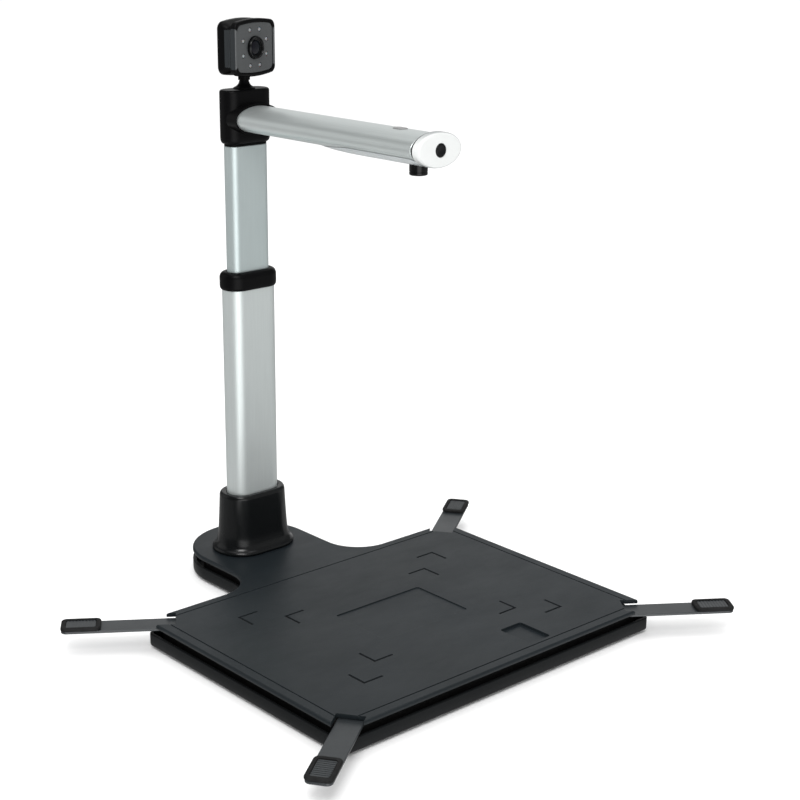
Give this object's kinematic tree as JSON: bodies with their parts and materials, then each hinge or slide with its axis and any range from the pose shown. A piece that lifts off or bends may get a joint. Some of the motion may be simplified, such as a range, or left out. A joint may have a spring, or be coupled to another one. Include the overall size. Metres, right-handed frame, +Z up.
{
  "type": "book scanner",
  "caption": "Desktop book scanner with a flat document base, pull-out corner arms, telescopic column, swivelling camera arm and a face camera on top.",
  "frame": {"origin": "on the table, at the bottom centre of the object's bounding box: on the deck's centre line, 41.6 mm behind the deck's centre", "axes": "+Z up, +X to the user's right along the deck's long side, -Y towards the user; the column stands at +Y"},
  "size_m": [0.4502, 0.4207, 0.4847],
  "materials": {
    "deck_plastic": "dark grey satin moulded plastic with fine texture",
    "tray_plastic": "charcoal satin plastic",
    "black_plastic": "black semi-gloss plastic",
    "gloss_black": "piano black",
    "carrier_plastic": "black moulded plastic",
    "arm_metal": "grey satin paint on sheet steel",
    "aluminium": "satin anodised extrusion",
    "pod_silver": "silver painted plastic",
    "cap_white": "white semi-gloss",
    "button_grey": "grey matte",
    "panel_grey": "smoked grey translucent",
    "rubber": "black matte rubber",
    "steel": "zinc plated",
    "lens_glass": "coated lens glass",
    "led_lens": "clear moulded light domes",
    "circuit_board": "green solder mask"
  },
  "bodies": {
    "base": {"lower_tray": "tray_plastic", "foot_front_left": "rubber", "foot_front_right": "rubber", "foot_back_left": "rubber", "foot_back_right": "rubber", "foot_tongue": "rubber", "base_screw_1": "steel", "base_screw_2": "steel", "base_screw_3": "steel", "base_screw_4": "steel", "slide_carrier": "carrier_plastic", "ballast_plate": "steel", "hub_board": "circuit_board", "cable_inlet": "steel", "top_plate": "deck_plastic", "column_socket": "gloss_black", "lower_tube": "aluminium", "collar": "black_plastic", "guide_bush": "carrier_plastic"},
    "arm_front_left": {"corner_arm_front_left": "arm_metal", "stop_pin_front_left": "steel", "arm_pad_front_left": "rubber"},
    "arm_front_right": {"corner_arm_front_right": "arm_metal", "stop_pin_front_right": "steel", "arm_pad_front_right": "rubber"},
    "arm_back_left": {"corner_arm_back_left": "arm_metal", "stop_pin_back_left": "steel", "arm_pad_back_left": "rubber"},
    "arm_back_right": {"corner_arm_back_right": "arm_metal", "stop_pin_back_right": "steel", "arm_pad_back_right": "rubber"},
    "column": {"upper_tube": "aluminium", "glide_shoe": "carrier_plastic", "swivel_plug": "black_plastic"},
    "head": {"head_block": "black_plastic", "camera_arm": "aluminium", "camera_pod": "pod_silver", "seam_ring": "black_plastic", "end_cap": "cap_white", "lens_barrel": "gloss_black", "lens_window": "lens_glass", "camera_board": "circuit_board"},
    "end_button": {"end_button": "black_plastic"},
    "top_button": {"top_button": "button_grey"},
    "face_pan": {"face_neck": "black_plastic"},
    "face_tilt": {"face_back_shell": "black_plastic", "tilt_pin": "steel", "face_bezel": "black_plastic", "face_panel": "panel_grey", "led_ring": "led_lens", "face_lens_barrel": "gloss_black", "face_lens_window": "lens_glass", "face_board": "circuit_board"}
  },
  "joints": [
    {"name": "arm_slide_front_left", "type": "slide", "parent": "base", "child": "arm_front_left", "axis": [-0.8161, -0.5779, 0], "range_m": [-0.059, 0]},
    {"name": "arm_slide_front_right", "type": "slide", "parent": "base", "child": "arm_front_right", "axis": [0.8161, -0.5779, 0], "range_m": [-0.059, 0]},
    {"name": "arm_slide_back_left", "type": "slide", "parent": "base", "child": "arm_back_left", "axis": [-0.8161, 0.5779, 0], "range_m": [-0.059, 0]},
    {"name": "arm_slide_back_right", "type": "slide", "parent": "base", "child": "arm_back_right", "axis": [0.8161, 0.5779, 0], "range_m": [-0.059, 0]},
    {"name": "column_extend", "type": "slide", "parent": "base", "child": "column", "axis": [0, 0, 1], "range_m": [-0.1, 0.06]},
    {"name": "head_swivel", "type": "hinge", "parent": "column", "child": "head", "pos_m": [0, 0.15637, 0.383], "axis": [0, 0, 1], "range_deg": [-90, 90]},
    {"name": "end_button_press", "type": "slide", "parent": "head", "child": "end_button", "axis": [0, 1, 0], "range_m": [0, 0.001], "stiffness_N_per_m": 250},
    {"name": "top_button_press", "type": "slide", "parent": "head", "child": "top_button", "axis": [0, 0, -1], "range_m": [0, 0.0008], "stiffness_N_per_m": 250},
    {"name": "face_pan", "type": "hinge", "parent": "head", "child": "face_pan", "pos_m": [0, 0.15637, 0.4276], "axis": [0, 0, 1], "range_deg": [-100, 75]},
    {"name": "face_tilt", "type": "hinge", "parent": "face_pan", "child": "face_tilt", "pos_m": [0, 0.15637, 0.445], "axis": [0.9781, 0.2079, 0], "range_deg": [-25, 25]}
  ]
}
